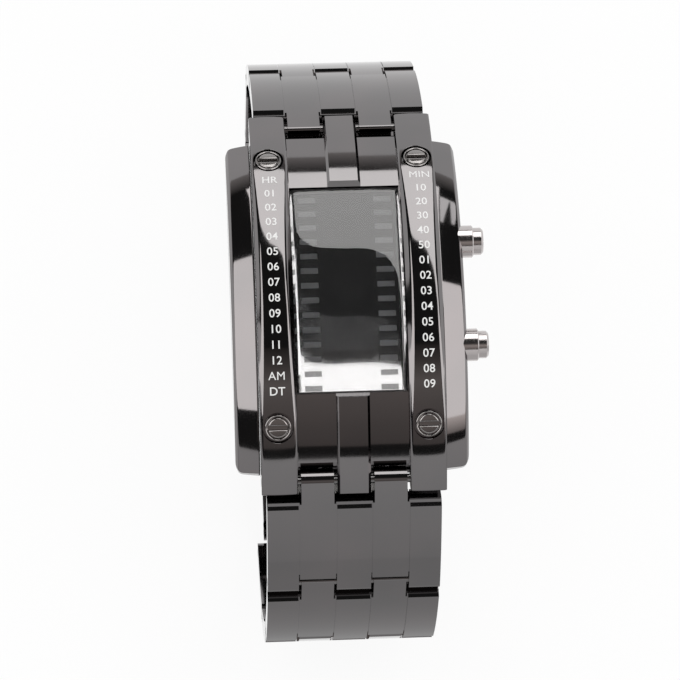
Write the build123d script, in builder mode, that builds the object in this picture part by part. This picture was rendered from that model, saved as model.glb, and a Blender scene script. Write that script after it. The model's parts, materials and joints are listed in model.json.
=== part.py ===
"""A binary watch: curved case, LED window, two push buttons and a link bracelet on its clasp.

Millimetres. +Z runs out of the face, +Y to 12 o'clock and +X to the push buttons. The watch
stands on its closed clasp, and the origin is on the flat outer face of the clasp's cover.
"""

import os
from math import acos, asin, atan2, cos, radians, sin, sqrt

from build123d import *

# Case outline
case_radius = 44.0
lug_length = 55.0
case_thickness = 13.6
back_thickness = 1.0
case_clearance = 0.05

# Rails and their screws
rail_width = 4.95
rail_span = 25.4
rail_outer_chamfer = 0.75
rail_inner_chamfer = 1.0
lug_end_chamfer = 0.3
screw_x = 10.3
screw_arc = 19.9
screw_head_diameter = 3.6
screw_head_height = 1.1
screw_recess_diameter = 4.2
screw_recess_depth = 1.2
screw_shank_diameter = 1.6
screw_length = 4.8
screw_slot_width = 0.7
screw_slot_depth = 0.6
screw_land_diameter = 2.8
screw_ring_depth = 0.35
fit_clearance = 0.02

# Bars between the rails
deck_drop = 1.0
deck_end = 23.7
deck_end_chamfer = 0.4
deck_side_gap = 0.15
centre_bar_width = 4.6
centre_bar_drop = 0.25
centre_bar_bevel = 0.9
centre_bar_chamfer = 0.35

# Side plates
plate_width = 3.35
plate_drop = 3.8
plate_length = 47.8
plate_chamfer = 0.5
plate_corner = 1.0
plate_lift = 0.6
peg_diameter = 1.8
peg_length = 1.7
peg_y = 20.0
peg_height = 3.0

# Body under the rails
shoulder_edge_height = 1.78
chamber_margin = 0.6
chamber_height = 4.4
button_bay_length = 23.0
button_bay_height = 6.7

# Window and the parts under it
crystal_width = 15.2
crystal_length = 29.3
crystal_drop = 1.4
crystal_edge_thickness = 1.0
crystal_roll_width = 0.7
crystal_roll_depth = 0.45
crystal_gap = 0.12
gasket_height = 0.25
gasket_width = 0.55
window_width = 13.9
window_length = 28.2
mask_thickness = 0.5
light_rows = 14
light_row_pitch = 2.04
light_pattern_y = -0.3
light_column_x = 5.2
light_bar_width = 2.3
light_bar_height = 0.75
light_box_floor = 6.9
led_width = 1.6
led_depth = 0.5
led_height = 0.4
led_board_width = 14.2
led_board_length = 28.8
board_thickness = 0.8
board_gap = 0.6
strip_y = 12.6
strip_width = 1.6
strip_length = 11.0
module_gap = 0.15

# Module in the chamber
battery_diameter = 20.0
battery_height = 3.2
battery_y = 5.9
battery_lift = 0.12
battery_rim_chamfer = 0.4
frame_wall = 0.9
chip_size = 6.0
chip_height = 1.1
chip_x = -4.4
quartz_diameter = 2.0
quartz_length = 6.0
quartz_x = 4.6
module_part_offset = 4.5

# Push buttons
button_y = 7.45
button_drop = 7.2
collar_diameter = 4.5
collar_bore = 3.9
collar_stand = 1.65
cap_diameter = 3.8
cap_stand = 1.4
cap_length = 2.8
cap_chamfer = 0.3
button_travel = 0.8
stem_diameter = 1.6
stem_clearance = 0.05
stem_groove_diameter = 1.1
stem_tail = 0.3
clip_diameter = 2.0
clip_thickness = 0.26
spring_wire = 0.4
spring_diameter = 3.3
spring_turns = 5
seal_wire = 0.4
seal_inner_diameter = 1.64
contact_thickness = 0.3
contact_width = 3.0
contact_height = 2.0
contact_gap = 0.05

# Case back
back_side_margin = 1.2
back_end_margin = 2.7
back_corner = 3.0
back_chamfer = 0.4
back_screw_offset = 2.8
back_screw_diameter = 1.4
back_screw_head = 2.4
back_screw_head_height = 0.6
back_screw_length = 2.6
back_screw_slot = 0.4
back_gasket_width = 0.8
back_gasket_height = 0.5
back_gasket_margin = 0.5

# Bracelet
link_pitch = 16.8
link_thickness = 3.0
link_gap = 0.6
upper_lug_gap = 0.4
lower_lug_gap = 1.1
first_slope_degrees = 47.5
link_bend_degrees = 30.0
upper_first_bend_share = 0.633
upper_bend_share = 1.143
links_per_side = 4
outer_column = 4.4
inner_column = 5.15
centre_column = 4.9
column_groove = 0.14
tongue_width = 4.5
core_inset = 0.45
block_bevel_length = 0.33
lug_bevel_length = 0.8
block_bevel_depth = 1.0
block_end_reach = 1.15
block_end_round = 0.75
tongue_reach = 2.0
tongue_end_round = 0.3
lower_tongue_round = 1.0
lip_clearance = 0.35
pin_diameter = 1.2
pin_clearance = 0.05
pin_end_inset = 0.3

# Clasp
clasp_width = 22.0
clasp_wall = 1.2
clasp_floor = 1.1
clasp_wall_height = 3.9
clasp_pin_height = 2.3
clasp_edge_round = 0.5
blade_thickness = 0.9
blade_width = 14.5
blade_clearance = 0.4
cover_hinge_radius = 1.2
blade_hinge_radius = 1.15
blade_hinge_y = 14.0
hinge_pin_diameter = 0.9
hinge_gap = 0.2
centre_knuckle_width = 7.6
cover_hinge_space = 0.7
floor_end_space = 0.5

# Places worked out from the sizes above
cut_over = 2.0
knuckle = link_thickness / 2
mid_radius = case_radius - knuckle
inner_radius = case_radius - link_thickness
case_width = rail_span + 2 * (plate_width + case_clearance)
chamber_width = battery_diameter + 2 * chamber_margin
chamber_length = 2 * (battery_y + battery_diameter / 2 + chamber_margin)
module_part_y = module_part_offset - chamber_length / 2
back_width = chamber_width + 2 * back_side_margin
back_screw_x = back_width / 2 - back_corner
back_screw_y = chamber_length / 2 + back_screw_offset
back_length = 2 * (back_screw_y + back_end_margin)
band_width = 2 * outer_column + 2 * inner_column + centre_column
lug_angle = asin(lug_length / 2 / case_radius)
lug_pin_angle = lug_angle - asin(knuckle / mid_radius)
lug_pin_y = mid_radius * sin(lug_pin_angle)
upper_bend_shares = [upper_first_bend_share + upper_bend_share * count for count in range(links_per_side - 1)]
upper_slopes = [first_slope_degrees] + [first_slope_degrees + link_bend_degrees * share
                                        for share in upper_bend_shares]
lower_slopes = [first_slope_degrees + link_bend_degrees * count for count in range(links_per_side)]
lug_pin_z = clasp_pin_height + link_pitch * sum(sin(radians(slope)) for slope in lower_slopes)
cover_pin_z = lug_pin_z - link_pitch * sum(sin(radians(slope)) for slope in upper_slopes)
cover_pin_y = lug_pin_y + link_pitch * sum(cos(radians(slope)) for slope in upper_slopes)
blade_pin_y = -lug_pin_y - link_pitch * sum(cos(radians(slope)) for slope in lower_slopes)
arc_z = lug_pin_z - mid_radius * cos(lug_pin_angle)
apex_z = arc_z + case_radius
back_z = apex_z - case_thickness
body_z = back_z + back_thickness
rail_outer_x = rail_span / 2
rail_inner_x = rail_outer_x - rail_width
deck_x = rail_inner_x - deck_side_gap
button_z = apex_z - button_drop
shoulder_end = sqrt((inner_radius - case_clearance) ** 2 - (body_z + shoulder_edge_height - arc_z) ** 2)
crystal_end = crystal_length / 2
crystal_floor = arc_z + sqrt((case_radius - crystal_drop) ** 2 - crystal_end**2) - crystal_edge_thickness
mask_top = crystal_floor - module_gap
mask_floor = mask_top - mask_thickness
window_z = apex_z - light_box_floor
led_board_z = window_z - board_thickness
main_board_z = led_board_z - board_gap
chamber_top = body_z + chamber_height
bay_top = body_z + button_bay_height


def save(piece, name):
    """Label a finished piece and write it under its own name."""
    piece.label = name
    export_step(piece, "parts/" + name + ".step")


def on_arc(radius, y):
    """Height of the case's arc of this radius at a place along the watch."""
    return arc_z + sqrt(radius**2 - y**2)


def side_plane(x):
    """The plane across X at this place: its first axis is Y and its second is Z."""
    return Plane(origin=(x, 0, 0), x_dir=(0, 1, 0), z_dir=(1, 0, 0))


def arc_plane(radius, arc_length, x):
    """A plane on the case's arc, facing outwards, at a length along the outer arc."""
    angle = arc_length / case_radius
    place = (x, radius * sin(angle), arc_z + radius * cos(angle))
    return Plane(origin=place, x_dir=(1, 0, 0), z_dir=(0, sin(angle), cos(angle)))


def add_box(low, high, mode=Mode.ADD):
    """A box between two corners."""
    size = [b - a for a, b in zip(low, high)]
    middle = [(a + b) / 2 for a, b in zip(low, high)]
    with Locations(tuple(middle)):
        Box(*size, mode=mode)


def arch_sketch(radius, half_length, floor_z):
    """A face under the case's arc, flat at the bottom."""
    top = on_arc(radius, half_length)
    with BuildLine() as outline:
        ThreePointArc((-half_length, top), (0, arc_z + radius), (half_length, top))
        Polyline((half_length, top), (half_length, floor_z), (-half_length, floor_z), (-half_length, top))
    make_face(outline.edges())


def lug_points(outer, side):
    """The corners of a lug's rounded end, at one end of the watch."""
    pin = (side * lug_pin_y, lug_pin_z)
    end_face = asin(lug_length / 2 / case_radius)
    mid_turn = lug_pin_angle + radians(135)
    top = (side * outer * sin(end_face), arc_z + outer * cos(end_face))
    face_foot = (side * mid_radius * sin(end_face), arc_z + mid_radius * cos(end_face))
    round_mid = (pin[0] + side * knuckle * sin(mid_turn), pin[1] + knuckle * cos(mid_turn))
    round_end = (side * inner_radius * sin(lug_pin_angle), arc_z + inner_radius * cos(lug_pin_angle))
    return top, face_foot, round_mid, round_end


def lug_band_sketch(outer):
    """A band of the case's arc from lug to lug, rounded about the lug pins inside."""
    top, foot, turn, root = lug_points(outer, 1)
    far_top, far_foot, far_turn, far_root = lug_points(outer, -1)
    with BuildLine() as outline:
        ThreePointArc(far_top, (0, arc_z + outer), top)
        Line(top, foot)
        ThreePointArc(foot, turn, root)
        ThreePointArc(root, (0, arc_z + inner_radius), far_root)
        ThreePointArc(far_root, far_turn, far_foot)
        Line(far_foot, far_top)
    make_face(outline.edges())


def arc_edges(piece, radius, x):
    """The piece's long edges on an arc of the case, at one X."""
    arcs = piece.edges().filter_by(GeomType.CIRCLE)
    arcs = arcs.filter_by(lambda edge: abs(edge.radius - radius) < fit_clearance)
    return arcs.filter_by(lambda edge: abs(edge.center().X - x) < fit_clearance)


def lug_pin_holes(radius):
    """Bores for both lug pins, right across the watch."""
    for side in (1, -1):
        with Locations(Location((0, side * lug_pin_y, lug_pin_z), (0, 90, 0))):
            Cylinder(radius, case_width + cut_over, mode=Mode.SUBTRACT)


def screw_planes():
    """The four places of the rail screws, square to the rails' outer face."""
    return [arc_plane(case_radius, y_side * screw_arc, x_side * screw_x)
            for x_side in (-1, 1) for y_side in (-1, 1)]


def make_case_body():
    """The body that carries the rails, the plates, the window and the module."""
    with BuildPart() as body:
        with BuildSketch(side_plane(-rail_outer_x)):
            arch_sketch(inner_radius - case_clearance, shoulder_end, body_z)
        extrude(amount=rail_span)
        with BuildSketch(side_plane(-deck_x)):
            arch_sketch(case_radius - deck_drop, deck_end, body_z)
        extrude(amount=2 * deck_x)
        deck_ends = body.edges().filter_by(Axis.X).filter_by(
            lambda edge: abs(abs(edge.center().Y) - deck_end) < fit_clearance
            and edge.center().Z > arc_z + inner_radius * cos(lug_angle))
        chamfer(deck_ends.group_by(Axis.Z)[-1], deck_end_chamfer)
        make_centre_bars()
        make_body_hollows()
        lug_pin_holes(pin_diameter / 2 + fit_clearance)
        for plane in screw_planes():
            with Locations(plane):
                Cylinder(screw_shank_diameter / 2 + fit_clearance, 2 * (screw_length + case_clearance),
                         mode=Mode.SUBTRACT)
    save(body.part, "case_body")


def make_centre_bars():
    """The raised bar in the middle of the deck, at each side of the window."""
    bar_radius = case_radius - centre_bar_drop
    with BuildPart(mode=Mode.PRIVATE) as bars:
        with BuildSketch(side_plane(-centre_bar_width / 2)):
            lug_band_sketch(bar_radius)
        extrude(amount=centre_bar_width)
        add_box((-centre_bar_width, -crystal_end, body_z), (centre_bar_width, crystal_end, apex_z),
                mode=Mode.SUBTRACT)
        bevels = bars.edges().filter_by(Axis.X).filter_by(
            lambda edge: abs(abs(edge.center().Y) - crystal_end) < fit_clearance).group_by(Axis.Z)[-1]
        chamfer(bevels, centre_bar_bevel)
        for x in (-centre_bar_width / 2, centre_bar_width / 2):
            chamfer(arc_edges(bars, bar_radius, x), centre_bar_chamfer)
    add(bars.part)


def make_body_hollows():
    """The seat and window of the crystal, the chamber, the button bores and the threads."""
    seat_x = crystal_width / 2 + crystal_gap
    seat_y = crystal_end + crystal_gap
    add_box((-seat_x, -seat_y, crystal_floor - gasket_height), (seat_x, seat_y, apex_z), mode=Mode.SUBTRACT)
    add_box((-window_width / 2, -window_length / 2, body_z), (window_width / 2, window_length / 2, apex_z),
            mode=Mode.SUBTRACT)
    pocket_x = led_board_width / 2 + module_gap
    pocket_y = led_board_length / 2 + module_gap
    add_box((-pocket_x, -pocket_y, body_z), (pocket_x, pocket_y, window_z), mode=Mode.SUBTRACT)
    add_box((-chamber_width / 2, -chamber_length / 2, body_z - cut_over),
            (chamber_width / 2, chamber_length / 2, chamber_top), mode=Mode.SUBTRACT)
    add_box((-chamber_width / 2, -button_bay_length / 2, body_z),
            (chamber_width / 2, button_bay_length / 2, bay_top), mode=Mode.SUBTRACT)
    seal_seat = seal_wire + 2 * case_clearance
    for side in (1, -1):
        with Locations(Location((rail_outer_x, side * button_y, button_z), (0, 90, 0))):
            Cylinder(stem_diameter / 2 + stem_clearance, case_width / 2, mode=Mode.SUBTRACT)
            Cylinder(seal_inner_diameter / 2 + seal_wire + case_clearance, 2 * seal_seat,
                     mode=Mode.SUBTRACT)
        for end in (1, -1):
            with Locations(Location((side * rail_outer_x, end * peg_y, body_z + plate_height()), (0, 90, 0))):
                Cylinder(peg_diameter / 2, 2 * (peg_length + case_clearance), mode=Mode.SUBTRACT)
            with Locations((side * back_screw_x, end * back_screw_y, body_z)):
                Cylinder(back_screw_diameter / 2 + fit_clearance, 2 * back_screw_length, mode=Mode.SUBTRACT)
    gasket_low, gasket_high = back_gasket_outline()
    with BuildSketch(Plane.XY.offset(body_z)) as groove:
        Rectangle(2 * gasket_high[0], 2 * gasket_high[1])
        Rectangle(2 * gasket_low[0], 2 * gasket_low[1], mode=Mode.SUBTRACT)
    extrude(groove.sketch, amount=back_gasket_height, mode=Mode.SUBTRACT)


def plate_height():
    """Height of the plate's pegs over the flat underside of the body."""
    return peg_height - back_thickness


def back_gasket_outline():
    """Half sizes of the inside and the outside of the case back's gasket."""
    inner = (chamber_width / 2 + back_gasket_margin - case_clearance,
             chamber_length / 2 + back_gasket_margin - case_clearance)
    return inner, (inner[0] + back_gasket_width / 2, inner[1] + back_gasket_width / 2)


def make_rail(side, name):
    """One of the two rails that run over the case from lug to lug."""
    inner_x = side * rail_inner_x
    outer_x = side * rail_outer_x
    with BuildPart() as rail:
        with BuildSketch(side_plane(min(inner_x, outer_x))):
            lug_band_sketch(case_radius)
        extrude(amount=rail_width)
        chamfer(arc_edges(rail, case_radius, outer_x), rail_outer_chamfer)
        chamfer(arc_edges(rail, case_radius, inner_x), rail_inner_chamfer)
        lug_tip = lug_length / 2
        tips = rail.edges().filter_by(Axis.X).filter_by(
            lambda edge: abs(abs(edge.center().Y) - lug_tip) < fit_clearance)
        chamfer(tips, lug_end_chamfer)
        lug_pin_holes(pin_diameter / 2 + fit_clearance)
        for plane in screw_planes():
            with Locations(plane):
                Cylinder(screw_shank_diameter / 2 + fit_clearance, case_radius, mode=Mode.SUBTRACT)
                Cylinder(screw_recess_diameter / 2, 2 * screw_recess_depth, mode=Mode.SUBTRACT)
    save(rail.part, name)


def make_rail_screws():
    """Four slotted screws, each with a raised land inside a ring."""
    head_top = screw_head_height - screw_recess_depth
    with BuildPart() as screws:
        for plane in screw_planes():
            seat = plane.offset(-screw_recess_depth)
            with BuildSketch(seat):
                Circle(screw_head_diameter / 2)
            extrude(amount=screw_head_height)
            with BuildSketch(seat):
                Circle(screw_shank_diameter / 2)
            extrude(amount=-(screw_length - screw_recess_depth))
            with BuildSketch(plane.offset(head_top)):
                Circle((screw_head_diameter + screw_land_diameter) / 4)
                Circle(screw_land_diameter / 2, mode=Mode.SUBTRACT)
            extrude(amount=-screw_ring_depth, mode=Mode.SUBTRACT)
            with BuildSketch(plane.offset(head_top)):
                Rectangle(screw_head_diameter * 2, screw_slot_width)
            extrude(amount=-screw_slot_depth, mode=Mode.SUBTRACT)
    save(screws.part, "rail_screws")


def make_side_plate(side, name):
    """The lower plate at one side, pegged into the body."""
    inner_x = side * (rail_outer_x + case_clearance)
    outer_x = side * case_width / 2
    plate_radius = case_radius - plate_drop
    floor_z = back_z + plate_lift
    with BuildPart() as plate:
        with BuildSketch(side_plane(min(inner_x, outer_x))):
            arch_sketch(plate_radius, plate_length / 2, floor_z)
        extrude(amount=abs(outer_x - inner_x))
        fillet(plate.edges().filter_by(Axis.Z).filter_by(
            lambda edge: abs(edge.center().X - outer_x) < fit_clearance), plate_corner)
        chamfer(arc_edges(plate, plate_radius, outer_x), plate_chamfer)
        for end in (1, -1):
            peg_x = inner_x - side * (peg_length / 2 - case_clearance)
            with Locations(Location((peg_x, end * peg_y, body_z + plate_height()), (0, 90, 0))):
                Cylinder(peg_diameter / 2 - fit_clearance, peg_length)
        if side > 0:
            for y in (button_y, -button_y):
                with Locations(Location((outer_x, y, button_z), (0, 90, 0))):
                    Cylinder(collar_diameter / 2 + fit_clearance, case_width, mode=Mode.SUBTRACT)
    save(plate.part, name)


def make_crystal():
    """The crystal, curved on top and flat below, with rolled long edges, and the gasket under it."""
    with BuildPart() as crystal:
        with BuildSketch(side_plane(-crystal_width / 2)):
            arch_sketch(case_radius - crystal_drop, crystal_end, crystal_floor)
        extrude(amount=crystal_width)
        for x in (-crystal_width / 2, crystal_width / 2):
            chamfer(arc_edges(crystal, case_radius - crystal_drop, x), crystal_roll_depth, crystal_roll_width)
    save(crystal.part, "crystal")
    with BuildPart() as gasket:
        with BuildSketch(Plane.XY.offset(crystal_floor)):
            Rectangle(crystal_width, crystal_length)
            Rectangle(crystal_width - 2 * gasket_width, crystal_length - 2 * gasket_width, mode=Mode.SUBTRACT)
        extrude(amount=-gasket_height)
    save(gasket.part, "crystal_gasket")


def light_places():
    """The place of every light, in two columns."""
    first = light_pattern_y - (light_rows - 1) / 2 * light_row_pitch
    return [(side * light_column_x, first + row * light_row_pitch)
            for side in (-1, 1) for row in range(light_rows)]


def make_window_parts():
    """The mask with its windows, the light bars in them and the light box below."""
    mask_size = (window_width - module_gap, window_length - module_gap)
    with BuildPart() as mask:
        with BuildSketch(Plane.XY.offset(mask_floor)):
            Rectangle(*mask_size)
            with Locations(*light_places()):
                Rectangle(light_bar_width + 2 * fit_clearance, light_bar_height + 2 * fit_clearance,
                          mode=Mode.SUBTRACT)
        extrude(amount=mask_thickness)
    save(mask.part, "display_mask")
    with BuildPart() as bars:
        with BuildSketch(Plane.XY.offset(mask_floor + fit_clearance)):
            with Locations(*light_places()):
                Rectangle(light_bar_width, light_bar_height)
        extrude(amount=mask_thickness - fit_clearance)
    save(bars.part, "light_bars")
    with BuildPart() as light_box:
        with BuildSketch(Plane.XY.offset(window_z)):
            Rectangle(*mask_size)
            with Locations(*light_places()):
                Rectangle(light_bar_width - 2 * module_gap, light_bar_height - module_gap, mode=Mode.SUBTRACT)
        extrude(amount=mask_floor - fit_clearance - window_z)
    save(light_box.part, "light_box")


def make_led_board():
    """The board with one LED under each channel, and the strips that join it to the main board."""
    with BuildPart() as board:
        add_box((-led_board_width / 2, -led_board_length / 2, led_board_z),
                (led_board_width / 2, led_board_length / 2, window_z - fit_clearance))
    save(board.part, "led_board")
    with BuildPart() as leds:
        with BuildSketch(Plane.XY.offset(window_z)):
            with Locations(*light_places()):
                Rectangle(led_width, led_depth)
        extrude(amount=led_height)
    save(leds.part, "led_chips")
    with BuildPart() as strips:
        for side in (1, -1):
            with Locations((0, side * strip_y, led_board_z - board_gap / 2)):
                Box(strip_length, strip_width, board_gap - 2 * fit_clearance)
    save(strips.part, "connector_strips")


def make_module():
    """The main board with its parts, the frame round them and the battery."""
    board_x = chamber_width / 2 - module_gap
    board_y = chamber_length / 2 - module_gap
    board_floor = main_board_z - board_thickness
    with BuildPart() as board:
        add_box((-board_x, -board_y, board_floor), (board_x, board_y, main_board_z))
        corner_y = button_bay_length / 2 - module_gap
        for side in (1, -1):
            for end in (1, -1):
                low_x, high_x = sorted((side * pocket_edge(), side * (board_x + cut_over)))
                low_y, high_y = sorted((end * corner_y, end * (board_y + cut_over)))
                add_box((low_x, low_y, chamber_top - module_gap),
                        (high_x, high_y, main_board_z + cut_over), mode=Mode.SUBTRACT)
    save(board.part, "main_board")
    with BuildPart() as chip:
        add_box((chip_x - chip_size / 2, module_part_y - chip_size / 2, board_floor - chip_height),
                (chip_x + chip_size / 2, module_part_y + chip_size / 2, board_floor - fit_clearance))
    save(chip.part, "controller_chip")
    with BuildPart() as quartz:
        with Locations(Location((quartz_x, module_part_y, board_floor - quartz_diameter / 2 - fit_clearance),
                                (90, 0, 0))):
            Cylinder(quartz_diameter / 2, quartz_length)
    save(quartz.part, "quartz_can")
    battery_z = body_z + battery_lift
    with BuildPart() as battery:
        with Locations((0, battery_y, battery_z + battery_height / 2)):
            Cylinder(battery_diameter / 2, battery_height)
        chamfer(battery.edges().group_by(Axis.Z)[0], battery_rim_chamfer)
    save(battery.part, "battery")
    frame_top = battery_y - battery_diameter / 4
    with BuildPart() as frame:
        add_box((-board_x, -board_y, body_z + fit_clearance),
                (board_x, frame_top, board_floor - fit_clearance))
        add_box((-board_x + frame_wall, -board_y + frame_wall, body_z - cut_over),
                (board_x - frame_wall, battery_y - battery_diameter / 2, main_board_z), mode=Mode.SUBTRACT)
        with Locations((0, battery_y, body_z)):
            Cylinder(battery_diameter / 2 + module_gap, 2 * case_thickness, mode=Mode.SUBTRACT)
    save(frame.part, "module_frame")
    with BuildPart() as contacts:
        for y in (button_y, -button_y):
            high_x = stem_end() - button_travel - contact_gap
            add_box((high_x - contact_thickness, y - contact_width / 2, main_board_z + fit_clearance),
                    (high_x, y + contact_width / 2, main_board_z + contact_height))
    save(contacts.part, "button_contacts")


def pocket_edge():
    """Half width of the pocket over the main board."""
    return led_board_width / 2 + module_gap


def stem_end():
    """Place of a button stem's inner end."""
    return chamber_width / 2 - clip_thickness - 2 * fit_clearance - stem_tail


def make_button(y, name):
    """A push button with its collar, return spring and retaining clip."""
    plate_x = case_width / 2
    collar_x = rail_outer_x + case_clearance
    cap_end = plate_x + collar_stand + cap_stand
    cap_start = cap_end - cap_length
    axis_plane = Plane(origin=(0, y, button_z), x_dir=(1, 0, 0), z_dir=(0, -1, 0))
    with BuildPart() as collar:
        with BuildSketch(Plane(origin=(collar_x, y, button_z), x_dir=(0, 1, 0), z_dir=(1, 0, 0))):
            Circle(collar_diameter / 2)
            Circle(collar_bore / 2, mode=Mode.SUBTRACT)
        extrude(amount=plate_x + collar_stand - collar_x)
        outer_rim = collar.edges().group_by(Axis.X)[-1].sort_by(SortBy.LENGTH)[-1]
        chamfer(outer_rim, cap_chamfer / 2)
    save(collar.part, name + "_collar")
    groove_start = chamber_width / 2 - clip_thickness - 2 * fit_clearance
    groove_end = chamber_width / 2
    with BuildPart() as button:
        with BuildSketch(axis_plane):
            with BuildLine():
                Polyline((stem_end(), 0), (stem_end(), stem_diameter / 2),
                         (groove_start, stem_diameter / 2), (groove_start, stem_groove_diameter / 2),
                         (groove_end, stem_groove_diameter / 2), (groove_end, stem_diameter / 2),
                         (cap_start, stem_diameter / 2), (cap_start, cap_diameter / 2),
                         (cap_end - cap_chamfer, cap_diameter / 2), (cap_end, cap_diameter / 2 - cap_chamfer),
                         (cap_end, 0), (stem_end(), 0))
            make_face()
        revolve(axis=Axis((0, y, button_z), (1, 0, 0)))
    save(button.part, name)
    with BuildPart() as clip:
        with BuildSketch(Plane(origin=(groove_start + fit_clearance, y, button_z), x_dir=(0, 1, 0),
                               z_dir=(1, 0, 0))):
            Circle(clip_diameter / 2)
            Circle(stem_groove_diameter / 2 + fit_clearance, mode=Mode.SUBTRACT)
        extrude(amount=clip_thickness)
    save(clip.part, name + "_clip")
    spring_start = rail_outer_x + spring_wire / 2 + fit_clearance
    spring_length = cap_start - spring_wire / 2 - fit_clearance - spring_start
    coil_radius = (spring_diameter - spring_wire) / 2
    with BuildPart() as spring:
        with BuildLine():
            coil = Helix(spring_length / spring_turns, spring_length, coil_radius,
                         center=(spring_start, y, button_z), direction=(1, 0, 0))
        with BuildSketch(Plane(origin=coil @ 0, z_dir=coil % 0)):
            Circle(spring_wire / 2)
        sweep(path=coil)
    save(spring.part, name + "_spring")


def make_button_seals():
    """The sealing rings round both stems."""
    ring_x = rail_outer_x - seal_wire / 2 - case_clearance
    with BuildPart() as seals:
        for y in (button_y, -button_y):
            with Locations(Location((ring_x, y, button_z), (0, 90, 0))):
                Torus(seal_inner_diameter / 2 + seal_wire / 2, seal_wire / 2)
    save(seals.part, "button_seals")


def make_case_back():
    """The case back with its gasket and four screws."""
    head_z = back_z + back_screw_head_height
    places = [(x_side * back_screw_x, y_side * back_screw_y) for x_side in (-1, 1) for y_side in (-1, 1)]
    with BuildPart() as back:
        with BuildSketch(Plane.XY.offset(back_z)):
            RectangleRounded(back_width, back_length, back_corner)
        extrude(amount=back_thickness - fit_clearance)
        chamfer(back.faces().sort_by(Axis.Z)[0].edges(), back_chamfer)
        for x, y in places:
            with Locations((x, y, back_z)):
                Cylinder(back_screw_diameter / 2 + fit_clearance, 2 * case_thickness, mode=Mode.SUBTRACT)
                Cylinder(back_screw_head / 2 + case_clearance, 2 * back_screw_head_height, mode=Mode.SUBTRACT)
    save(back.part, "case_back")
    with BuildPart() as screws:
        for x, y in places:
            with BuildSketch(Plane.XY.offset(head_z)):
                with Locations((x, y)):
                    Circle(back_screw_head / 2)
            extrude(amount=-back_screw_head_height)
            with BuildSketch(Plane.XY.offset(head_z)):
                with Locations((x, y)):
                    Circle(back_screw_diameter / 2)
            extrude(amount=back_screw_length - back_screw_head_height)
            with Locations((x, y, back_z)):
                Box(2 * back_screw_head, back_screw_slot, back_screw_head_height, mode=Mode.SUBTRACT)
    save(screws.part, "back_screws")
    inner, outer = back_gasket_outline()
    with BuildPart() as gasket:
        with BuildSketch(Plane.XY.offset(body_z)):
            Rectangle(2 * (outer[0] - fit_clearance), 2 * (outer[1] - fit_clearance))
            Rectangle(2 * (inner[0] + fit_clearance), 2 * (inner[1] + fit_clearance), mode=Mode.SUBTRACT)
        extrude(amount=back_gasket_height - fit_clearance)
    save(gasket.part, "back_gasket")


def slopes_of(side):
    """The slopes of one bracelet half's links, in degrees below level."""
    return upper_slopes if side > 0 else lower_slopes


def chain_pins(side):
    """The pin places of one bracelet half, from the lug to the clasp, as Y and Z."""
    pins = [(side * lug_pin_y, lug_pin_z)]
    for slope in slopes_of(side):
        y, z = pins[-1]
        run = link_pitch * cos(radians(slope))
        drop = link_pitch * sin(radians(slope))
        pins.append((y + side * run, z - drop))
    return pins


def link_plane(side, count):
    """A link's own plane at the middle of the band: first axis to the clasp, second outwards."""
    y, z = chain_pins(side)[count]
    slope = radians(slopes_of(side)[count])
    return Plane(origin=(0, y, z), x_dir=(0, side * cos(slope), -sin(slope)), z_dir=(side, 0, 0))


# The link's arcs in its own plane
link_centre_x = link_pitch / 2
link_centre_y = -sqrt(mid_radius**2 - link_centre_x**2)
link_half_angle = asin(link_centre_x / mid_radius)
far_stop = link_pitch - knuckle - link_gap


def near_stop_of(side, count):
    """Where a link's outer columns begin: the widest gap shows at the case's lower end."""
    lug_gap = upper_lug_gap if side > 0 else lower_lug_gap
    return knuckle + (lug_gap if count == 0 else link_gap)


def tongue_end_of(side, count):
    """How far a link's tongues reach past the near pin, and the round on their outer corner."""
    if side < 0 and count == 0:
        return knuckle, lower_tongue_round
    return tongue_reach, tongue_end_round


def link_arc(radius, x):
    """Height of one of the link's arcs over the line through its pins."""
    return link_centre_y + sqrt(radius**2 - (x - link_centre_x)**2)


def leading_sketch(reach, end_round):
    """A block held by the near pin: its far end is hollowed round the next link's tongue."""
    root = (knuckle * sin(link_half_angle), -knuckle * cos(link_half_angle))
    turn = (radians(90) + link_half_angle) / 2
    round_x = end_round - reach
    round_y = link_arc(case_radius, -reach) - end_round
    round_mid = (round_x - end_round * sin(radians(45)), round_y + end_round * cos(radians(45)))
    mid_x = (round_x + far_stop) / 2
    lip_radius = tongue_reach + lip_clearance
    lip_cosine = (case_radius**2 + mid_radius**2 - lip_radius**2) / (2 * case_radius * mid_radius)
    lip_angle = link_half_angle - acos(lip_cosine)
    lip = (link_centre_x + case_radius * sin(lip_angle), link_centre_y + case_radius * cos(lip_angle))
    hollow_y = sqrt(lip_radius**2 - (link_pitch - far_stop)**2)
    hollow_turn = (atan2(lip[1], lip[0] - link_pitch) + atan2(hollow_y, far_stop - link_pitch)) / 2
    hollow_mid = (link_pitch + lip_radius * cos(hollow_turn), lip_radius * sin(hollow_turn))
    inner_end = link_arc(inner_radius, far_stop)
    with BuildLine() as outline:
        ThreePointArc((round_x, link_arc(case_radius, round_x)), (mid_x, link_arc(case_radius, mid_x)), lip)
        ThreePointArc(lip, hollow_mid, (far_stop, hollow_y))
        Line((far_stop, hollow_y), (far_stop, inner_end))
        ThreePointArc((far_stop, inner_end), (mid_x, link_arc(inner_radius, mid_x)), root)
        ThreePointArc(root, (-knuckle * cos(turn), -knuckle * sin(turn)), (-knuckle, 0))
        Line((-knuckle, 0), (-reach, round_y))
        ThreePointArc((-reach, round_y), round_mid, (round_x, link_arc(case_radius, round_x)))
    make_face(outline.edges())


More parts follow.
